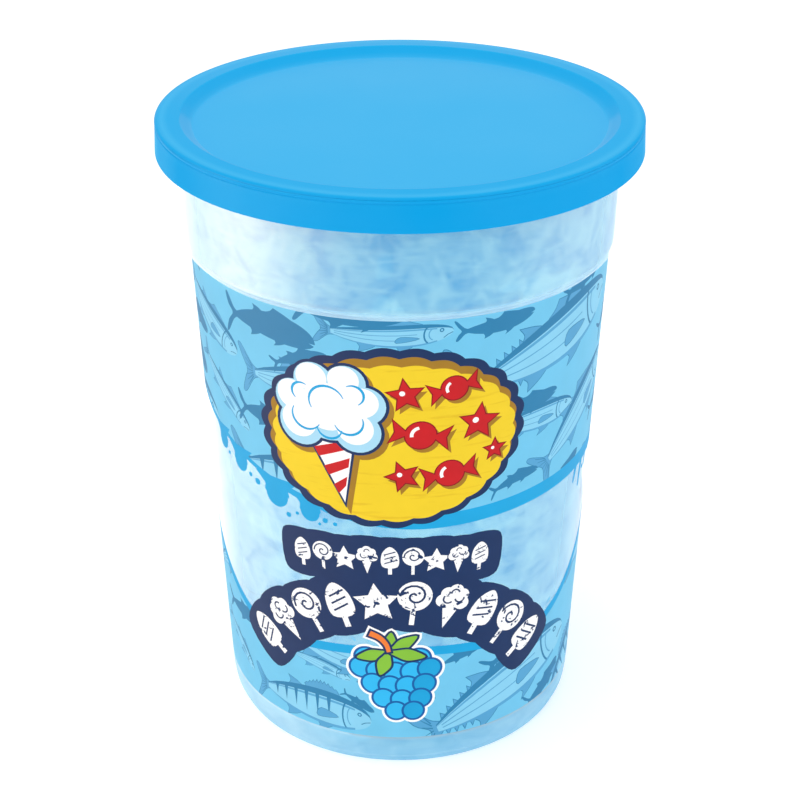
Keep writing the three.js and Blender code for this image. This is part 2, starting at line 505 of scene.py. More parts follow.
def candy_profile():
    """Radius and height of each ring: out across the floor, up inside the wall, and in under the lid."""
    bottom = FLOOR_TOP - CANDY_IN_WALL
    top = TOP - PANEL_DEPTH - LID_WALL - 0.15 * MM
    floor_round, top_round = 3.0 * MM, 4.0 * MM
    corners = [
        (0, bottom),
        (inner_radius(bottom), bottom, floor_round),
        (inner_radius(SHOULDER_HEIGHT), SHOULDER_HEIGHT),
        (inner_radius(COLLAR_BOTTOM), COLLAR_BOTTOM),
        (inner_radius(top), top, top_round),
        (0, top),
    ]
    path = np.array(outline(corners))
    travelled = np.concatenate([[0], np.cumsum(np.linalg.norm(np.diff(path, axis=0), axis=1))])
    side_start, side_end = np.searchsorted(path[:, 1], [bottom + 1 * MM, top - 1 * MM])
    flat_rings = CANDY_RINGS // 8
    stops = np.concatenate([
        np.linspace(0, travelled[side_start], flat_rings, endpoint=False),
        np.linspace(travelled[side_start], travelled[side_end], CANDY_RINGS - 2 * flat_rings, endpoint=False),
        np.linspace(travelled[side_end], travelled[-1], flat_rings),
    ])
    return [(np.interp(t, travelled, path[:, 0]), np.interp(t, travelled, path[:, 1])) for t in stops]


def spun_sugar(name, pale, deep):
    """Dull fibrous sugar whose colour drifts between a pale and a deep blue in drawn-out clouds."""
    nodes = Nodes(name)
    cloud = nodes.noise(150, 8, distortion=0.7)
    strands = nodes.noise(260, 6, nodes.stretched(0.45, 0.45, 1.8), distortion=0.6)
    drift = nodes.ramp(cloud, (0.34, deep), (0.66, pale))
    light_strands = nodes.ramp(strands, (0.42, 0.0), (0.68, 0.6))
    tint = nodes.mix(light_strands, drift, pale)
    lumps = nodes.bump(nodes.noise(700, 4, nodes.stretched(0.5, 0.5, 2.0)), 0.35, 0.3 * MM)
    surface = {"Roughness": 0.85, "Specular_IOR_Level": 0.1, "Sheen_Weight": 0.1}
    return nodes.finish(nodes.principled(Base_Color=tint, Normal=lumps, **surface).outputs["BSDF"])


def make_candy_core():
    noise.seed_set(CANDY_SEED)
    points, faces = turned(candy_profile(), CANDY_TURNS)
    heights = [point[2] for point in points]
    low, high = min(heights), max(heights)
    relieved = []
    for x, y, z in points:
        radius = math.hypot(x, y)
        ridge = wisps(x, y, z)
        at_wall = smoothstep(0.75, 0.97, radius / inner_radius(z))
        reach = CANDY_IN_WALL - CANDY_RELIEF * (1 - ridge)
        under_lid = smoothstep(high - 6 * MM, high, z) * (1 - ridge) * 1.5 * MM
        share = 1 + at_wall * reach / max(radius, 1 * MM)
        relieved.append((x * share, y * share, max(z - under_lid, low)))
    material = spun_sugar("spun_sugar", colour("87D0EC"), colour("3FAAE0"))
    core = add_piece("candy_core", relieved, faces, material, sharp_degrees=180)
    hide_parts("cotton_candy")


def make_threads(name, material, seed):
    """Loose threads of sugar that wander round the wall, each a thin three-sided tube."""
    rng = random.Random(seed)
    sides = 3
    points, faces = [], []
    for _ in range(THREAD_COUNT):
        height = rng.uniform(FLOOR_TOP + 3 * MM, LIP_BOTTOM - 2 * MM)
        turn = rng.uniform(-math.pi, math.pi)
        heading = rng.gauss(0, 0.45) + (math.pi if rng.random() < 0.5 else 0)
        bend = rng.gauss(0, 0.16)
        step = rng.uniform(6, 22) * MM / THREAD_STEPS
        depth = rng.uniform(0.15, 0.75) * MM
        thickness = rng.uniform(0.05, 0.09) * MM
        first = len(points)
        for k in range(THREAD_STEPS + 1):
            radius = inner_radius(height) - depth
            taper = thickness * (0.25 + 0.75 * math.sin(math.pi * (k + 0.3) / (THREAD_STEPS + 0.6)))
            for side in range(sides):
                around = 2 * math.pi * side / sides
                here, level = radius + taper * math.cos(around), height + taper * math.sin(around)
                points.append((here * math.sin(turn), -here * math.cos(turn), level))
            heading += bend + rng.gauss(0, 0.10)
            turn += step * math.cos(heading) / radius
            height = min(max(height + step * math.sin(heading), FLOOR_TOP + 2 * MM), LIP_BOTTOM - 1 * MM)
        for k in range(THREAD_STEPS):
            for side in range(sides):
                a, b = first + k * sides + side, first + k * sides + (side + 1) % sides
                faces.append([a, a + sides, b + sides, b])
        last = first + THREAD_STEPS * sides
        faces.append([first, first + 1, first + 2])
        faces.append([last + 2, last + 1, last])
    add_piece(name, points, faces, material, sharp_degrees=180)


def make_candy():
    make_candy_core()
    pale = spun_sugar("pale_threads", colour("CDEAF5"), colour("9CD5EC"))
    make_threads("candy_threads_pale", pale, seed=5)
    blue = spun_sugar("blue_threads", colour("74C6EA"), colour("48AEDF"))
    make_threads("candy_threads_blue", blue, seed=8)


# ---- Flat shapes for the print ----
# Their points run counter-clockwise, in millimetres. Each says how far it lies round the wall, to the right
# of the middle of the front, and how high it is above the table.
UNROLLED_RADIUS = 48.3  # radius at which a millimetre of the flat print is a millimetre of the wall
HALF_TURN = math.pi * UNROLLED_RADIUS


def placed(shape, at=(0, 0), turn=0.0, size=1.0):
    """A shape made larger, turned by degrees and moved."""
    angle = math.radians(turn)
    cos, sin = math.cos(angle), math.sin(angle)
    spin = np.array([[cos, sin], [-sin, cos]])
    return np.asarray(shape, float) @ spin * size + np.array(at)


def disc(centre, radius, steps=28):
    angles = np.linspace(0, 2 * math.pi, steps, endpoint=False)
    return radius * np.column_stack([np.cos(angles), np.sin(angles)]) + centre


def star(radius, waist=0.46):
    tips = 5
    angles = np.radians(90) + np.arange(2 * tips) * math.pi / tips
    reach = np.where(np.arange(2 * tips) % 2 == 0, radius, radius * waist)
    return np.column_stack([reach * np.cos(angles), reach * np.sin(angles)])


def curved(corners, closed=True, steps=5):
    """A smooth curve through corners."""
    corners = np.asarray(corners, float)
    count = len(corners)
    points = []
    for i in range(count if closed else count - 1):
        around = [(i + k) % count if closed else min(max(i + k, 0), count - 1) for k in (-1, 0, 1, 2)]
        before, here, there, after = corners[around]
        for t in np.linspace(0, 1, steps, endpoint=False):
            points.append(
                here
                + 0.5 * t * (there - before)
                + t * t * (before - 2.5 * here + 2 * there - 0.5 * after)
                + 0.5 * t ** 3 * (3 * here - 3 * there + after - before)
            )
    if not closed:
        points.append(corners[-1])
    return np.array(points)


def ribbon(path, widths):
    """A strip along an open path, as wide as widths says at each point."""
    path = np.asarray(path, float)
    along = np.gradient(path, axis=0)
    along /= np.linalg.norm(along, axis=1, keepdims=True)
    across = np.column_stack([-along[:, 1], along[:, 0]]) * np.broadcast_to(widths, len(path))[:, None] / 2
    return np.concatenate([path - across, (path + across)[::-1]])


def without_doubles(shape, nearest=1e-4):
    """A shape without the points that lie on the point before them."""
    steps = np.linalg.norm(shape - np.roll(shape, 1, axis=0), axis=1)
    return shape[steps > nearest]


def grown(shape, amount):
    """A shape whose outline lies further out by amount."""
    shape = without_doubles(np.asarray(shape, float))
    edges = np.roll(shape, -1, axis=0) - shape
    edges /= np.linalg.norm(edges, axis=1, keepdims=True)
    normals = np.column_stack([edges[:, 1], -edges[:, 0]])
    corner = normals + np.roll(normals, 1, axis=0)
    corner /= np.linalg.norm(corner, axis=1, keepdims=True)
    square = np.maximum((corner * normals).sum(axis=1, keepdims=True), 0.45)
    return shape + corner * amount / square


def arc(centre, radius, start, end, steps=16):
    """Points along an arc, between angles in degrees."""
    angles = np.radians(np.linspace(start, end, steps))
    return np.column_stack([centre[0] + radius * np.cos(angles), centre[1] + radius * np.sin(angles)])


def inked(ink, shapes, edge=0.0):
    """Shapes in one ink, each with its outline further out by edge."""
    return [(ink, grown(shape, edge) if edge else shape) for shape in shapes]


# ---- Fish for the print's two fields, each one unit long with its nose at +0.5 ----
NOSE = 0.5
BODY_LENGTH = 0.88  # from the nose to the root of the tail
TAIL_ROOT = 0.024  # half the height there
BELLY_SHARE = 0.86  # how deep the belly is for a back of 1


def fish_half_height(share, depth):
    """Half the height of a fish, from its nose at share 0 to the root of its tail at share 1."""
    fullness = 2.49  # makes the deepest place as deep as depth says
    return fullness * depth * math.sqrt(share) * (1 - share) ** 0.9 + TAIL_ROOT * share


def fish_place(share):
    """How far along the fish a share of its body's length lies."""
    return NOSE - BODY_LENGTH * share


def fish_curve(depth, start=0.0, end=1.0, steps=16):
    """Points along a fish's back between two shares of its length. A negative depth gives its belly."""
    side = math.copysign(1, depth)
    shares = start + (end - start) * np.linspace(0, 1, steps) ** (1.5 if start == 0 else 1)
    return np.array([(fish_place(s), side * fish_half_height(s, abs(depth))) for s in shares])


def fin(depth, start, end, rise, sweep, spikes=0):
    """A fin between two shares of the back: one swept point with a hollow rear edge, or a row of spikes."""
    side = math.copysign(1, depth)
    front, rear = fish_curve(depth, start, end, steps=2)
    if spikes:
        shares = np.linspace(0, 1, 2 * spikes + 1)
        notches = np.where(np.arange(len(shares)) % 2, 1, 0.7)
        heights = rise * np.sin(math.pi * (0.12 + 0.8 * shares)) * notches
        outer = [lerp(front, rear, s) + (-0.02, side * height) for s, height in zip(shares, heights)]
    else:
        tip = lerp(front, rear, 0.45) + (-sweep, side * rise)
        leading = curved([front, lerp(front, tip, 0.5) + (0.012, 0), tip], closed=False, steps=4)
        trailing = curved([tip, lerp(tip, rear, 0.6) + (0.014, 0), rear], closed=False, steps=4)
        outer = [*leading[:-1], *trailing]
    root = fish_curve(depth, start, end, steps=6)[::-1] * (1, 0.85)
    shape = np.concatenate([outer, root])
    return shape[::-1] if side < 0 else shape


def tail(spread, fork):
    """A tail fin that is as wide as spread, and notched in the middle by fork."""
    upper = [
        (-0.35, 0.022),
        (-0.405, 0.34 * spread),
        (-0.485, spread),
        (-0.515, 0.98 * spread),
        (-0.48, 0.42 * spread),
    ]
    middle = [(-0.49 + fork, 0.0)]
    lower = [(x, -y) for x, y in reversed(upper)]
    return curved(upper + middle + lower, steps=4)


def finlets(depth):
    """Small teeth along the back just in front of the tail."""
    teeth = []
    for share in np.linspace(0.70, 0.94, 6):
        x, high = fish_place(share), fish_half_height(share, abs(depth))
        tooth = np.array([(x + 0.012, high * 0.9), (x - 0.010, high + 0.020), (x - 0.014, high * 0.9)])
        teeth.append(tooth if depth > 0 else (tooth * (1, -1))[::-1])
    return teeth


def between(curve, outer, inner):
    """The area between two heights of the same curve."""
    return np.concatenate([curve * (1, outer), (curve * (1, inner))[::-1]])[::-1]


def fish_fins(kind):
    depth, spikes = kind["depth"], kind["spikes"]
    under = -BELLY_SHARE * depth
    fins = [
        tail(kind["tail"], kind["fork"]),
        fin(depth, 0.26, 0.56, 0.55 * depth if spikes else 0.06, 0.07, spikes),
        fin(depth, 0.62, 0.74, 0.055, 0.06),
        fin(under, 0.34, 0.46, 0.055, 0.07),
        fin(under, 0.64, 0.78, 0.06, 0.06),
    ]
    if kind["finlets"]:
        fins += finlets(depth) + finlets(under)
    if kind["bill"]:
        fins.append(np.array([(0.44, -0.016), (NOSE + kind["bill"], 0.002), (0.44, 0.026)]))
    return fins


def tail_rays(kind):
    tip = -0.478 + 0.4 * kind["fork"]
    spreads = np.linspace(-0.72, 0.72, 7) * kind["tail"]
    rays = [[(-0.40, spread * 0.30), (tip, spread)] for spread in spreads]
    return inked("fish_dark", [ribbon(ray, (0.007, 0.003)) for ray in rays])


def flank_marks(kind, back, belly):
    """A dark back, lines along the back and belly, and stripes or two side lines."""
    depth, stripes = kind["depth"], kind["stripes"]
    marks = [
        ("fish_dark", between(back, 1.0, 0.66)),
        ("fish_mid", between(back[4:], 0.60, 0.48)),
        ("fish_mid", between(belly[4:], 1.0, 0.84)[::-1]),
    ]
    for k in range(stripes):
        share = lerp(0.36, 0.88, k / (stripes - 1))
        x, high = fish_place(share), fish_half_height(share, depth)
        stripe = [(x - 0.022, high * 0.9), (x - 0.004, -high * 0.5), (x + 0.016, high * 0.9)]
        marks.append(("fish_dark", np.array(stripe)))
    if not stripes:
        shares = np.linspace(0.30, 0.97, 9)
        for drop in (0.14, -0.30):
            side_line = [(fish_place(s), drop * fish_half_height(s, depth)) for s in shares]
            marks.append(("fish_mid", ribbon(side_line, 0.006)))
    return marks


def head_marks(depth):
    """Gill, cheek, side fin, eye and mouth."""
    turns = np.linspace(-1.15, 1.15, 9)
    gill = [(0.33 - 0.045 * math.cos(t), 0.80 * depth * math.sin(t)) for t in turns]
    cheek = [(x + 0.035, 0.7 * y) for x, y in gill]
    side_fin = curved([(0.25, -0.25 * depth), (0.12, -0.02 * depth), (0.09, -0.52 * depth)], steps=4)
    eye = (0.412, 0.24 * depth)
    smile = [(0.492, -0.012), (0.455, -0.024), (0.425, -0.045)]
    return [
        ("fish_dark", ribbon(gill, 0.012)),
        ("fish_mid", ribbon(cheek, 0.008)),
        ("fish_dark", grown(side_fin, 0.004)),
        ("fish_mid", side_fin),
        ("fish_dark", disc(eye, 0.017, 12)),
        ("fish_pale", disc(eye, 0.008, 8)),
        ("fish_dark", ribbon(smile, 0.007)),
    ]


def fish(kind):
    """The parts of one fish: a plain dark shape, or a pale body with fins, a dark back, gill and eye."""
    back, belly = fish_curve(kind["depth"]), fish_curve(-BELLY_SHARE * kind["depth"])
    body = np.concatenate([back, belly[:0:-1]])[::-1]
    fins = fish_fins(kind)
    if kind["solid"]:
        mouth = np.array([(0.44, -0.016), (0.505, -0.034), (0.52, -0.008)])
        return inked("fish_dark", fins + [body]) + [("sea_blue", mouth)]
    return [
        *inked("fish_dark", fins, 0.004),
        *inked("fish_mid", fins),
        *tail_rays(kind),
        ("fish_dark", grown(body, 0.005)),
        ("fish_pale", body),
        *flank_marks(kind, back, belly),
        *head_marks(kind["depth"]),
    ]


def fish_kind(depth, tail, fork, **marks):
    plain = {"spikes": 0, "stripes": 0, "bill": 0.0, "solid": False, "finlets": False}
    return {**plain, "depth": depth, "tail": tail, "fork": fork, **marks}


FISH_KINDS = {
    "dark_tuna": fish_kind(0.14, 0.20, 0.07, solid=True),
    "dark_slim": fish_kind(0.10, 0.13, 0.05, solid=True),
    "perch": fish_kind(0.15, 0.14, 0.03, spikes=9, stripes=6),
    "bass": fish_kind(0.14, 0.17, 0.04),
    "tuna": fish_kind(0.145, 0.22, 0.08, finlets=True),
    "billfish": fish_kind(0.11, 0.20, 0.09, bill=0.18),
    "pike": fish_kind(0.09, 0.12, 0.04),
}

# Fish that lie in view beside the badge and the berry: kind, middle (u, z), turn in degrees, length
FRONT_FISH = [
    ("dark_tuna", (-31, 121), -3, 25), ("bass", (-54, 116), -26, 28), ("bass", (-22, 108.5), 4, 35),
    ("pike", (-49, 98), -36, 25), ("dark_slim", (-23, 114.8), 20, 15), ("pike", (-3.5, 123.4), 0, 30),
    ("dark_slim", (21.5, 124), 5, 19), ("tuna", (37, 114.5), 15, 50), ("billfish", (32, 96), -2, 30),
    ("bass", (51, 91), 34, 38), ("dark_slim", (28.5, 81), 12, 14), ("perch", (-26, 14.5), -1, 37),
    ("pike", (-22, 28.5), -12, 19), ("dark_slim", (-11, 19), -32, 10), ("pike", (-54, 21), -35, 19),
    ("tuna", (29, 18.5), 20, 54), ("dark_slim", (16, 33), 20, 13), ("dark_tuna", (46, 11.5), 24, 17),
]


def bent(shape, amount):
    """A shape whose length curves up or down towards both ends."""
    return shape + np.column_stack([np.zeros(len(shape)), amount * (shape[:, 0] ** 2 - 0.08)])


def school_of_fish(low, high, tries, seed):
    """Fish over a band of heights: the front ones, then others of any kind and size that find room."""
    rng = random.Random(seed)
    waiting = [spot for spot in FRONT_FISH if low <= spot[1][1] <= high]
    taken, parts = np.empty((0, 3)), []
    for k in range(len(waiting) + tries):
        if k < len(waiting):
            kind_name, at, turn, length = waiting[k]
        else:
            kind_name = rng.choice(list(FISH_KINDS))
            length = rng.uniform(17, 26) if kind_name.startswith("dark") else rng.uniform(30, 50)
            at, turn = (rng.uniform(-HALF_TURN, HALF_TURN), rng.uniform(low, high)), rng.gauss(0, 26)
        kind = FISH_KINDS[kind_name]
        facing_left = k >= len(waiting) and rng.random() < 0.3
        bend = rng.uniform(-0.3, 0.3)
        room = length * (kind["depth"] * 0.7 + 0.012)
        spine = placed([(x, 0) for x in (-0.46, -0.26, -0.06, 0.14, 0.34, 0.5)], at, turn, length)
        across = (taken[:, None, 0] - spine[None, :, 0] + HALF_TURN) % (2 * HALF_TURN) - HALF_TURN
        upward = taken[:, None, 1] - spine[None, :, 1]
        if k >= len(waiting) and (np.hypot(across, upward) < taken[:, 2, None] + room).any():
            continue
        taken = np.concatenate([taken, [(u, z, room) for u, z in spine]])
        for ink, shape in fish(kind):
            shape = bent(shape, bend)
            if facing_left:
                shape = (shape * (-1, 1))[::-1]
            parts.append((ink, placed(shape, at, turn, length)))
    return parts


# ---- Sweets for the badge and the banners, each about one unit high round its own middle ----
def lollipop():
    stick = ribbon([(0, -0.5), (0, 0.0)], 0.10)
    turns = np.linspace(0.6, 9.5, 22)
    swirl = np.column_stack([0.030 * turns * np.cos(turns), 0.17 + 0.030 * turns * np.sin(turns)])
    return inked("worn_white", [stick, disc((0, 0.17), 0.34)]) + [("navy", ribbon(swirl, 0.045))]


def puff_on_cone():
    """A cone under a fluffy heap, with a few curls drawn on it."""
    cone = np.array([(0, -0.5), (0.16, -0.02), (-0.16, -0.02)])
    spots = [
        (-0.19, 0.12, 0.15), (0.19, 0.12, 0.15), (-0.15, 0.29, 0.14),
        (0.15, 0.30, 0.14), (0.0, 0.37, 0.15), (0.0, 0.16, 0.20),
    ]
    puffs = [disc((u, z), radius, 18) for u, z, radius in spots]
    curls = [
        arc((-0.10, 0.17), 0.10, 150, 330, 9),
        arc((0.12, 0.22), 0.09, 200, 380, 9),
        arc((0.0, 0.32), 0.08, 20, 200, 9),
    ]
    return [
        ("worn_white", cone),
        *inked("navy", puffs[:2], 0.035),
        *inked("worn_white", puffs),
        *inked("navy", [ribbon(curl, 0.035) for curl in curls]),
    ]


def wrapped_sweet():
    """The two twisted ends of a wrapper, and the sweet between them."""
    left = np.array([(-0.20, 0.0), (-0.50, 0.22), (-0.43, 0.0), (-0.50, -0.22)])
    return [left, left[::-1] * (-1, 1), disc((0, 0), 0.26)]


def ice_pop():
    stick = ribbon([(0, -0.5), (0, -0.15)], 0.12)
    block = curved([(-0.23, -0.22), (0.23, -0.22), (0.25, 0.25), (0.0, 0.52), (-0.25, 0.25)], steps=5)
    stripes = [ribbon([(-0.17, z), (0.17, z + 0.12)], 0.04) for z in (-0.10, 0.06, 0.22)]
    return inked("worn_white", [stick, block]) + inked("navy", stripes)


def star_sweet():
    return [("worn_white", star(0.46, waist=0.5))]


# ---- The parts of the print ----
def upper_field_edge(u):
    """Height of the upper field's lower edge, which rises and falls once round the tub."""
    angle = u / UNROLLED_RADIUS
    return (
        84.4
        + 9.9 * math.cos(angle + math.radians(135))
        + 2.5 * math.cos(2 * (angle - math.radians(65)))
        + 0.7 * math.cos(3 * (angle - math.radians(33)))
    )


def lower_field_edge(u):
    """Height of the lower field's upper edge, which is low in front and high behind."""
    angle = math.degrees(u) / UNROLLED_RADIUS
    return 33 + 22 * smoothstep(42, 98, abs(angle)) + 1.5 * math.cos(math.radians(3 * angle))


def band(lower, upper):
    """The shape between two heights, given as functions of the place round the wall."""
    places = np.linspace(-HALF_TURN, HALF_TURN, 181)
    below = [(u, lower(u)) for u in places]
    above = [(u, upper(u)) for u in places[::-1]]
    return np.array(below + above)


def sea_bands():
    return [
        band(upper_field_edge, lambda u: PRINT_TOP),
        band(lambda u: PRINT_BOTTOM, lower_field_edge),
    ]


def upper_swoosh_edge(u):
    """Height of the lower edge of the swoosh under the upper field, which is widest in front."""
    widening = smoothstep(-40, 8, u) * (1 - smoothstep(70, 130, u))
    return upper_field_edge(u) - (1.3 + 2.6 * widening)


def swooshes():
    upper = band(upper_swoosh_edge, upper_field_edge)
    lower = band(lower_field_edge, lambda u: lower_field_edge(u) + 2.6)
    return [upper, lower]


def drips():
    """Rounded drips and loose bubbles under the left of the upper swoosh, and slim drips under its right."""
    shapes = []
    lobes = [(-51.5, 82.0, 1.8), (-43.7, 79.8, 2.4), (-31.3, 75.7, 3.3), (-21.9, 73.7, 2.5)]
    for u, z, radius in lobes:
        top = upper_field_edge(u)
        neck = [(u - 2.0 * radius, top + 0.4), (u - 1.1 * radius, lerp(top, z, 0.5)), (u - 0.99 * radius, z)]
        neck += [(2 * u - place, height) for place, height in reversed(neck)]
        shapes += [curved(neck, False), disc((u, z), radius)]
    bubbles = [
        (-49, 80, 0.5), (-40, 78, 0.6), (-37.5, 77, 0.9), (-28, 71.2, 0.7), (-25.5, 72.4, 0.5),
        (-18, 72.3, 0.7), (-15.5, 71.8, 0.55), (-19.5, 71.0, 0.4), (59, 71, 0.6), (64, 74, 0.5),
    ]  # place (u, z) and radius
    shapes += [disc((u, z), radius, 14) for u, z, radius in bubbles]
    for u, length, lean in ((54, 6.0, -1.5), (57.5, 9.0, -1.2), (61, 5.0, -0.6)):
        top = upper_field_edge(u) - 2
        path = [(u, top), (u + lean / 2, top - length / 2), (u + lean, top - length)]
        shapes.append(ribbon(curved(path, False), np.linspace(1.6, 0.5, 11)))
    return shapes


BADGE = (-2.2, 96.3)  # its middle (u, z)
BADGE_HALF = (31.2, 23.3)  # half its width and height
BADGE_TILT = 4.0  # degrees
BADGE_LOBES = 26


def badge_oval(inset, bulge, shift=(0, 0)):
    """An oval smaller than the badge by inset (across, up), whose edge is a row of round lobes."""
    half_width, half_height = np.subtract(BADGE_HALF, inset)
    angles = np.linspace(0, 2 * math.pi, BADGE_LOBES * 8, endpoint=False)
    reach = 1 + bulge * np.abs(np.sin(BADGE_LOBES * angles / 2))
    oval = np.column_stack([half_width * reach * np.cos(angles), half_height * reach * np.sin(angles)])
    return placed(oval, np.add(BADGE, shift), BADGE_TILT)


def badge():
    """A yellow scalloped badge with a puff of candy on a striped cone, and red stars and sweets beside it."""
    return [
        ("navy", badge_oval((0, 0), 0.035)),
        ("ochre", badge_oval((2.1, 2.1), 0.035)),
        ("yellow", badge_oval((2.7, 2.9), 0.03, (0.5, -1.3))),
        *badge_cone(),
        *badge_sweets(),
    ]


PUFFS = [
    (-23, 98, 5.6), (-9.5, 98, 5.4), (-24.5, 104.5, 4.9), (-8, 105, 5.0),
    (-19.5, 110, 4.8), (-12, 110.5, 4.6), (-16, 103, 8.0),
]  # place (u, z) and radius


def badge_cone():
    foot, mouth = np.array((-12.8, 78.5)), np.array((-15.5, 95.5))
    length, half_mouth, slant = np.linalg.norm(foot - mouth), 5.2, 1.0
    lean = math.degrees(math.atan2(foot[0] - mouth[0], mouth[1] - foot[1]))
    cone = placed([(0, -length), (half_mouth, 0), (-half_mouth, 0)], mouth, lean)
    stripes = []
    for k in range(3):
        top, bottom = 1.2 + 5.0 * k, 3.7 + 5.0 * k
        upper, lower = half_mouth * (1 - top / length), half_mouth * (1 - bottom / length)
        left = [(-upper, -top - slant), (-lower, -bottom - slant)]
        right = [(lower, -bottom + slant), (upper, -top + slant)]
        stripes.append(placed(left + right, mouth, lean))
    return [
        ("ochre", placed(grown(cone, 1.0), (1.0, -1.0))),
        *inked("ochre", [disc((u + 1.1, z - 1.2), radius + 0.7) for u, z, radius in PUFFS]),
        ("navy", grown(cone, 0.7)),
        ("white", cone),
        *inked("red", stripes),
        *badge_puff(),
    ]


def badge_puff():
    """The heap of candy on the badge's cone: round puffs, lit from above, with curls drawn on them."""
    puffs = [disc((u, z), radius) for u, z, radius in PUFFS]
    curls = [
        arc((-21.5, 100.5), 3.6, 150, 330),
        arc((-11.5, 100.5), 3.4, 200, 380),
        arc((-16.5, 105.0), 4.2, 20, 210),
        arc((-10.5, 107.5), 2.6, 300, 480),
        arc((-22.5, 106.5), 2.4, 60, 230),
        arc((-16.0, 98.5), 3.0, 190, 350),
    ]
    strokes = [ribbon(curl, 0.55 * np.sin(np.linspace(0.2, 2.9, len(curl))) + 0.1) for curl in curls]
    return [
        *inked("navy", puffs, 0.75),
        *inked("puff_blue", puffs),
        *inked("white", [disc((u - 0.5, z + 0.8), radius * 0.78) for u, z, radius in PUFFS]),
        *inked("swoosh_blue", strokes),
    ]


def badge_sweets():
    """Red stars and wrapped sweets, each with a shadow below it and a small light mark."""
    parts = []
    spots = [
        ("star", 1.2, 108.2, 4.1, 8),
        ("sweet", 12.0, 109.4, 11.5, 14),
        ("sweet", 4.6, 97.6, 13.5, -10),
        ("star", 18.0, 99.6, 4.7, -6),
        ("star", 0.6, 86.6, 3.9, 20),
        ("sweet", 11.4, 86.8, 13.0, 10),
        ("star", 22.2, 91.4, 2.7, 0),
    ]
    for kind, u, z, size, turn in spots:
        if kind == "star":
            shapes = [placed(star(size), (u, z), turn)]
            mark = disc((u - 0.18 * size, z + 0.12 * size), 0.16 * size, 12)
        else:
            shapes = [placed(shape, (u, z), turn, size) for shape in wrapped_sweet()]
            mark = placed(ribbon(arc((0, 0), 0.15, 110, 200, 8), 0.06), (u, z), turn, size)
        parts += inked("ochre", [placed(shape, (0.8, -1.0)) for shape in shapes], 0.15)
        parts += inked("dark_red", shapes, 0.3) + inked("red", shapes) + [("white", mark)]
    return parts


def banner(places, thickness, icon_size, icons):
    """A navy band with a rounded block at each place (u, z, turn), and the white sweets that lie on it."""
    path = np.array([(u, z) for u, z, _ in places])
    half_long, half_high, corner = 0.43, 0.5, 0.19
    right = [
        (half_long - corner, -half_high),
        (half_long, -half_high + corner),
        (half_long, half_high - corner),
        (half_long - corner, half_high),
    ]
    left = [(-x, y) for x, y in reversed(right)]
    block = curved(right + left, steps=3)
    ground = [("navy", ribbon(path, 0.94 * thickness))]
    sweets = []
    for k, ((u, z, turn), icon) in enumerate(zip(places, icons)):
        wobble = 0.03 * math.sin(2.4 * k)
        ground.append(("navy", placed(block, (u, z), turn, thickness * (1 + wobble))))
        sweets += [(ink, placed(shape, (u, z), turn, icon_size)) for ink, shape in icon()]
    return ground, sweets


def banners():
    """A short banner over a long arched one, with rows of sweets in place of words."""
    short_icons = [ice_pop, lollipop, star_sweet, puff_on_cone] * 2 + [ice_pop]
    long_icons = [ice_pop, puff_on_cone, lollipop, ice_pop, star_sweet, lollipop, puff_on_cone]
    long_icons += [ice_pop, lollipop, ice_pop]
    short = []
    for k in range(len(short_icons)):
        share = k / (len(short_icons) - 1)
        rise = 1.0 * math.sin(math.pi * share)
        short.append((lerp(-24.6, 19.8, share), 61.8 + rise, lerp(3, -3, share)))
    arch_radius, arch_centre, arch_lean = 44.5, (-1.2, 6.0), 54
    long = []
    for k in range(len(long_icons)):
        lean = lerp(-arch_lean, arch_lean, k / (len(long_icons) - 1))
        outward = np.array([math.sin(math.radians(lean)), math.cos(math.radians(lean))])
        long.append((*(arch_centre + arch_radius * outward), -lean))
    short_ground, short_sweets = banner(short, 13.2, 7.8, short_icons)
    long_ground, long_sweets = banner(long, 16.8, 12.8, long_icons)
    return short_ground + long_ground + short_sweets + long_sweets


BERRY = (-1.2, 33.0)  # middle and top
BERRY_LEAN = 0.2  # how far the berry's foot leans to the right for each millimetre down
BORDER, WHITE_BORDER = 0.6, 1.15  # widths of the two edges round the leaves and stem


def drupelets():
    """Place and radius of each round bead of the berry, row by row."""
    middle, top = BERRY
    rows = [(4, 0.0, 4.45), (5, 3.6, 4.4), (4, 7.9, 4.45), (3, 12.1, 4.8), (2, 15.8, 4.5)]
    widest = rows[1][1]
    beads = []
    for row, (count, drop, spacing) in enumerate(rows):
        for k in range(count):
            across = (k - (count - 1) / 2) * spacing
            u = middle + across + BERRY_LEAN * (drop - widest)
            beads.append((u, top - drop + 0.012 * across ** 2, 3.1 - 0.08 * row))
    return beads


def berry_leaf(crown, lean, length, width):
    along = np.linspace(0, length, 5)
    rise = 0.5 * width * np.array([0, 0.62, 1.0, 0.72, 0])
    upper = [*zip(along, rise)]
    lower = [*zip(along, -rise)]
    return placed(curved(lower + upper[-2:0:-1], steps=4), crown, lean)


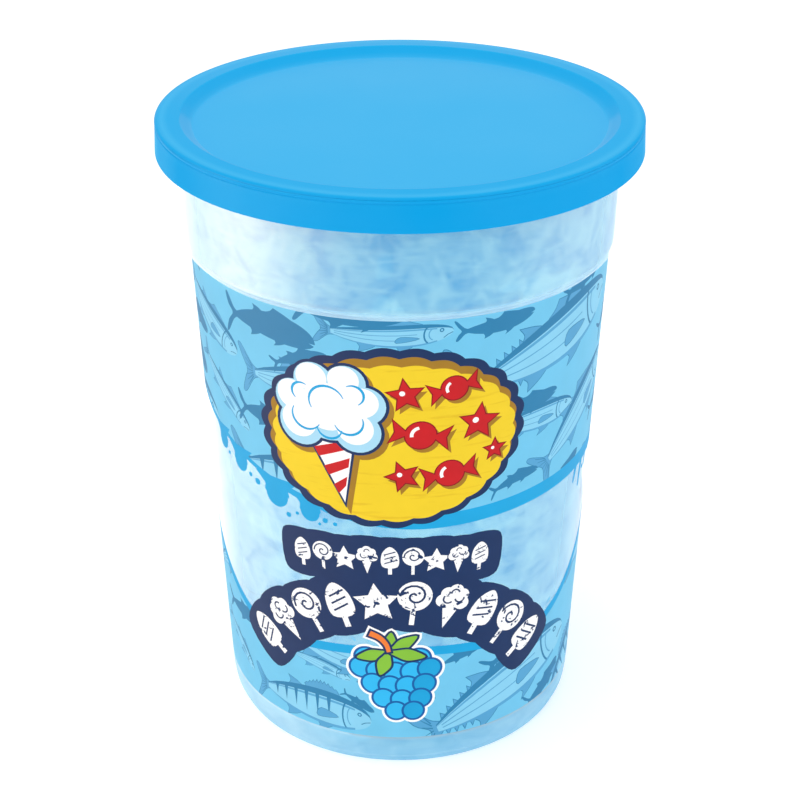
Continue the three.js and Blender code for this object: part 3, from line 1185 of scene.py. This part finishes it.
def raspberry():
    """A blue raspberry of round beads in rows, with five leaves and a bent stem, inside a white border."""
    middle, top = BERRY
    crown = (middle - 1.6, top + 2.6)
    beads = drupelets()
    leaves = [
        berry_leaf(crown, lean, length, width)
        for lean, length, width in (
            (196, 8.6, 3.2), (252, 7.6, 3.6), (84, 6.0, 2.8), (34, 8.6, 3.2), (-10, 9.4, 3.4)
        )
    ]
    stem_bends = [(0, 0), (-0.7, 2.3), (-2.4, 4.3), (-4.8, 5.4)]
    stem_path = curved(placed(stem_bends, crown), False)
    stem = ribbon(stem_path, np.linspace(1.0, 1.7, len(stem_path)))
    parts = inked("white", [disc((u, z), r + 1.0) for u, z, r in beads])
    parts += inked("white", leaves + [stem], WHITE_BORDER)
    for u, z, r in beads:
        in_shade = (u - middle) * 0.9 - (z - top) * 0.35 > 7
        shade = "berry_deep" if in_shade else "berry_light"
        parts += [("berry_line", disc((u, z), r + 0.35)), (shade, disc((u, z), r - 0.25))]
    for ink, shape in inked("leaf_green", leaves) + [("stem_orange", stem)]:
        parts += [("navy", grown(shape, BORDER)), (ink, shape)]
    return parts


# ---- Printing: every shape cuts the flat sheet, and each ink becomes one thin shell on the wall ----
GENERATOR_SPACING = 1.75  # between the upright cuts that let the sheet bend round the wall
CUT_ACCURACY = 1e-4  # points of the cut sheet closer than this are one
INK_LIFT = (0.012 * MM, 0.06 * MM)  # inner and outer face of an ink above the wall
WELD_DISTANCE = 1e-3 * MM  # points of a shell that are nearer than this become one


def inside(shape, points):
    """Which points lie inside a shape, by how often its outline winds round them."""
    u, z = points.T
    winding = np.zeros(len(points), int)
    for (u0, z0), (u1, z1) in zip(shape, np.roll(shape, -1, axis=0)):
        left = (u1 - u0) * (z - z0) - (u - u0) * (z1 - z0)
        winding += (z0 <= z) & (z1 > z) & (left > 0)
        winding -= (z0 > z) & (z1 <= z) & (left < 0)
    return winding != 0


def wrapped_round(parts):
    """Adds a second copy of each shape that crosses the seam behind the tub, so that it goes on there."""
    result = []
    for ink, shape in parts:
        result.append((ink, shape))
        if shape[:, 0].max() > HALF_TURN + 1e-6:
            result.append((ink, shape - (2 * HALF_TURN, 0)))
        elif shape[:, 0].min() < -HALF_TURN - 1e-6:
            result.append((ink, shape + (2 * HALF_TURN, 0)))
    return result


def cut_sheet(parts):
    """Triangles of the unrolled sheet, cut along every outline and every upright line."""
    corners, edges = [], []
    for _, shape in parts:
        shape = without_doubles(shape, nearest=0.002)
        first, count = len(corners), len(shape)
        corners += [Vector(point) for point in shape]
        edges += [(first + k, first + (k + 1) % count) for k in range(count)]
    uprights = math.ceil(2 * HALF_TURN / GENERATOR_SPACING)
    for k in range(uprights + 1):
        u = lerp(-HALF_TURN, HALF_TURN, k / uprights)
        edges.append((len(corners), len(corners) + 1))
        corners += [Vector((u, PRINT_BOTTOM - 1)), Vector((u, PRINT_TOP + 1))]
    flat, _, triangles, *_ = delaunay_2d_cdt(corners, edges, [], 0, CUT_ACCURACY)
    return np.array([tuple(point) for point in flat]), np.array([tuple(t) for t in triangles])


def ink_shell(name, flat, triangles):
    """A closed thin shell on the wall over some of the sheet's triangles."""
    used, corners = np.unique(triangles, return_inverse=True)
    corners = corners.reshape(-1, 3)
    layers = []
    for lift in INK_LIFT:
        angles = flat[used, 0] / UNROLLED_RADIUS
        heights = flat[used, 1] * MM
        radii = np.array([wall_radius(height) for height in heights]) + lift
        layers.append(np.column_stack([radii * np.sin(angles), -radii * np.cos(angles), heights]))
    outer_grid = np.round(layers[1] / WELD_DISTANCE)
    _, kept, welded = np.unique(outer_grid, axis=0, return_index=True, return_inverse=True)
    corners = welded.reshape(-1)[corners]
    layers = [layer[kept] for layer in layers]
    count = len(kept)
    inner = corners[:, ::-1]
    outer = corners + count
    edges = {(int(a), int(b)) for face in corners for a, b in zip(face, np.roll(face, -1))}
    border = [(a, b) for a, b in sorted(edges) if (b, a) not in edges]
    sides = [(b + count, a + count, a, b) for a, b in border]
    faces = [tuple(map(int, face)) for face in np.concatenate([inner, outer])] + sides
    material = printed_ink(name, **INKS[name])
    ink = add_piece("print_" + name, np.concatenate(layers), faces, material, sharp_degrees=30)
    ink.visible_shadow = False  # the milky wall spreads light, so no ink leaves a shadow on the sugar
    ink.visible_diffuse = False


def make_print():
    sea = sea_bands()
    fields = inked("sea_blue", sea)
    fields += school_of_fish(74, PRINT_TOP + 2, 2600, seed=21)
    fields += school_of_fish(PRINT_BOTTOM, 50, 2200, seed=4)
    artwork = inked("swoosh_blue", swooshes() + drips()) + badge() + banners() + raspberry()
    parts = wrapped_round(fields + artwork)
    flat, triangles = cut_sheet(parts)
    middles = flat[triangles].mean(axis=1)
    on_tub = np.abs(middles[:, 0]) < HALF_TURN
    in_sea = np.zeros(len(triangles), bool)
    for shape in sea:
        in_sea |= inside(shape, middles)
    names = list(INKS)
    ink_of = np.full(len(triangles), -1)
    for ink, shape in parts:
        near = ((middles > shape.min(axis=0)) & (middles < shape.max(axis=0))).all(axis=1)
        near = np.nonzero(near & on_tub & (in_sea | (ink not in SEA_INKS)))[0]
        ink_of[near[inside(shape, middles[near])]] = names.index(ink)
    for index, name in enumerate(names):
        ink_shell(name, flat, triangles[ink_of == index])


def printed_ink(name, tone, variation=0.05, flecks=None, streaks=None):
    """Smooth printed ink with a faint mottle, and flecks or level streaks of a second tone where asked."""
    nodes = Nodes(name)
    tint = nodes.ramp(nodes.noise(150, 3), (0.3, colour(tone, 1 - variation)), (0.7, colour(tone)))
    if flecks:
        worn = nodes.ramp(nodes.noise(620, 5, distortion=0.6), (0.60, 0.0), (0.635, 1.0))
        tint = nodes.mix(worn, tint, colour(flecks))
    if streaks:
        drawn = nodes.noise(900, 4, nodes.stretched(0.10, 0.10, 1.0), distortion=0.3)
        tint = nodes.mix(nodes.ramp(drawn, (0.56, 0.0), (0.72, 0.55)), tint, colour(streaks))
    grain = nodes.bump(nodes.noise(1800, 2), 0.06, 0.03 * MM)
    surface = {"Roughness": 0.5, "Specular_IOR_Level": 0.1}
    return nodes.finish(nodes.principled(Base_Color=tint, Normal=grain, **surface).outputs["BSDF"])


INKS = {
    "sea_blue": {"tone": "72C7ED"},
    "fish_pale": {"tone": "8AD1F1"},
    "fish_mid": {"tone": "57A6D5"},
    "fish_dark": {"tone": "2F82B1"},
    "swoosh_blue": {"tone": "1BA7E1"},
    "navy": {"tone": "1C3663", "variation": 0.10},
    "white": {"tone": "FBFDFF", "variation": 0.02},
    "worn_white": {"tone": "FBFDFF", "variation": 0.02, "flecks": "1C3663"},
    "puff_blue": {"tone": "A9DDF6"},
    "yellow": {"tone": "F0D02E", "variation": 0.04, "streaks": "D9B021"},
    "ochre": {"tone": "A87E2C", "variation": 0.12},
    "red": {"tone": "CB2129", "variation": 0.10},
    "dark_red": {"tone": "8E1420", "variation": 0.10},
    "berry_light": {"tone": "31BAF3"},
    "berry_deep": {"tone": "1AA4DD"},
    "berry_line": {"tone": "135EA6"},
    "leaf_green": {"tone": "87C340", "variation": 0.08},
    "stem_orange": {"tone": "EF813A"},
}
SEA_INKS = ("fish_pale", "fish_mid", "fish_dark")  # printed only inside the two fields


make_camera()
make_lights()
make_floor()
make_tub()
make_lid()
make_candy()
make_print()
